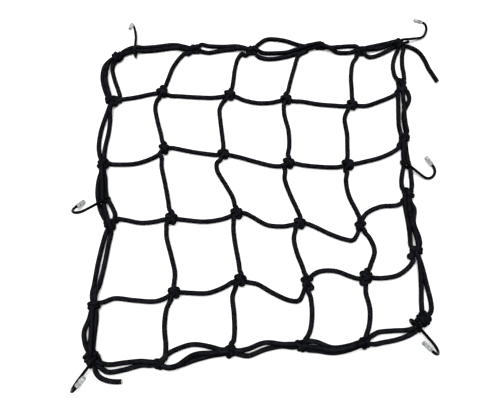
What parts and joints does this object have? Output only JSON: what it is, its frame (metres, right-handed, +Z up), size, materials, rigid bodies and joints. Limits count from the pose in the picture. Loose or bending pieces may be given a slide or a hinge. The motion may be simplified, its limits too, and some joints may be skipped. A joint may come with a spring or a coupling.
{
  "type": "cargo net",
  "caption": "Elastic cargo net laid out flat: a knotted mesh of braided cord with a bundled border, loose cord ends and wire hooks with clear sleeved tips",
  "frame": {"origin": "middle of the box round the net and its hooks, on the floor that it lies on", "axes": "+Z up out of the floor, +Y towards the net's top edge, +X towards its right edge"},
  "size_m": [0.4827, 0.4959, 0.0347],
  "materials": {
    "braided_cord": "braided synthetic jacket over a rubber core, near black",
    "coated_wire": "steel wire with a smooth black plastic coat",
    "clear_sleeve": "soft translucent tube, slightly cloudy"
  },
  "bodies": {
    "root": {"net": "braided_cord", "tail_top_right": "braided_cord", "tail_bottom_left": "braided_cord", "hook_top_left": "coated_wire", "hook_top_right": "coated_wire", "hook_left": "coated_wire", "hook_right": "coated_wire", "hook_bottom_left": "coated_wire", "hook_bottom_right": "coated_wire", "sleeve_top_left": "clear_sleeve", "sleeve_top_right": "clear_sleeve", "sleeve_left": "clear_sleeve", "sleeve_right": "clear_sleeve", "sleeve_bottom_left": "clear_sleeve", "sleeve_bottom_right": "clear_sleeve"}
  },
  "joints": []
}
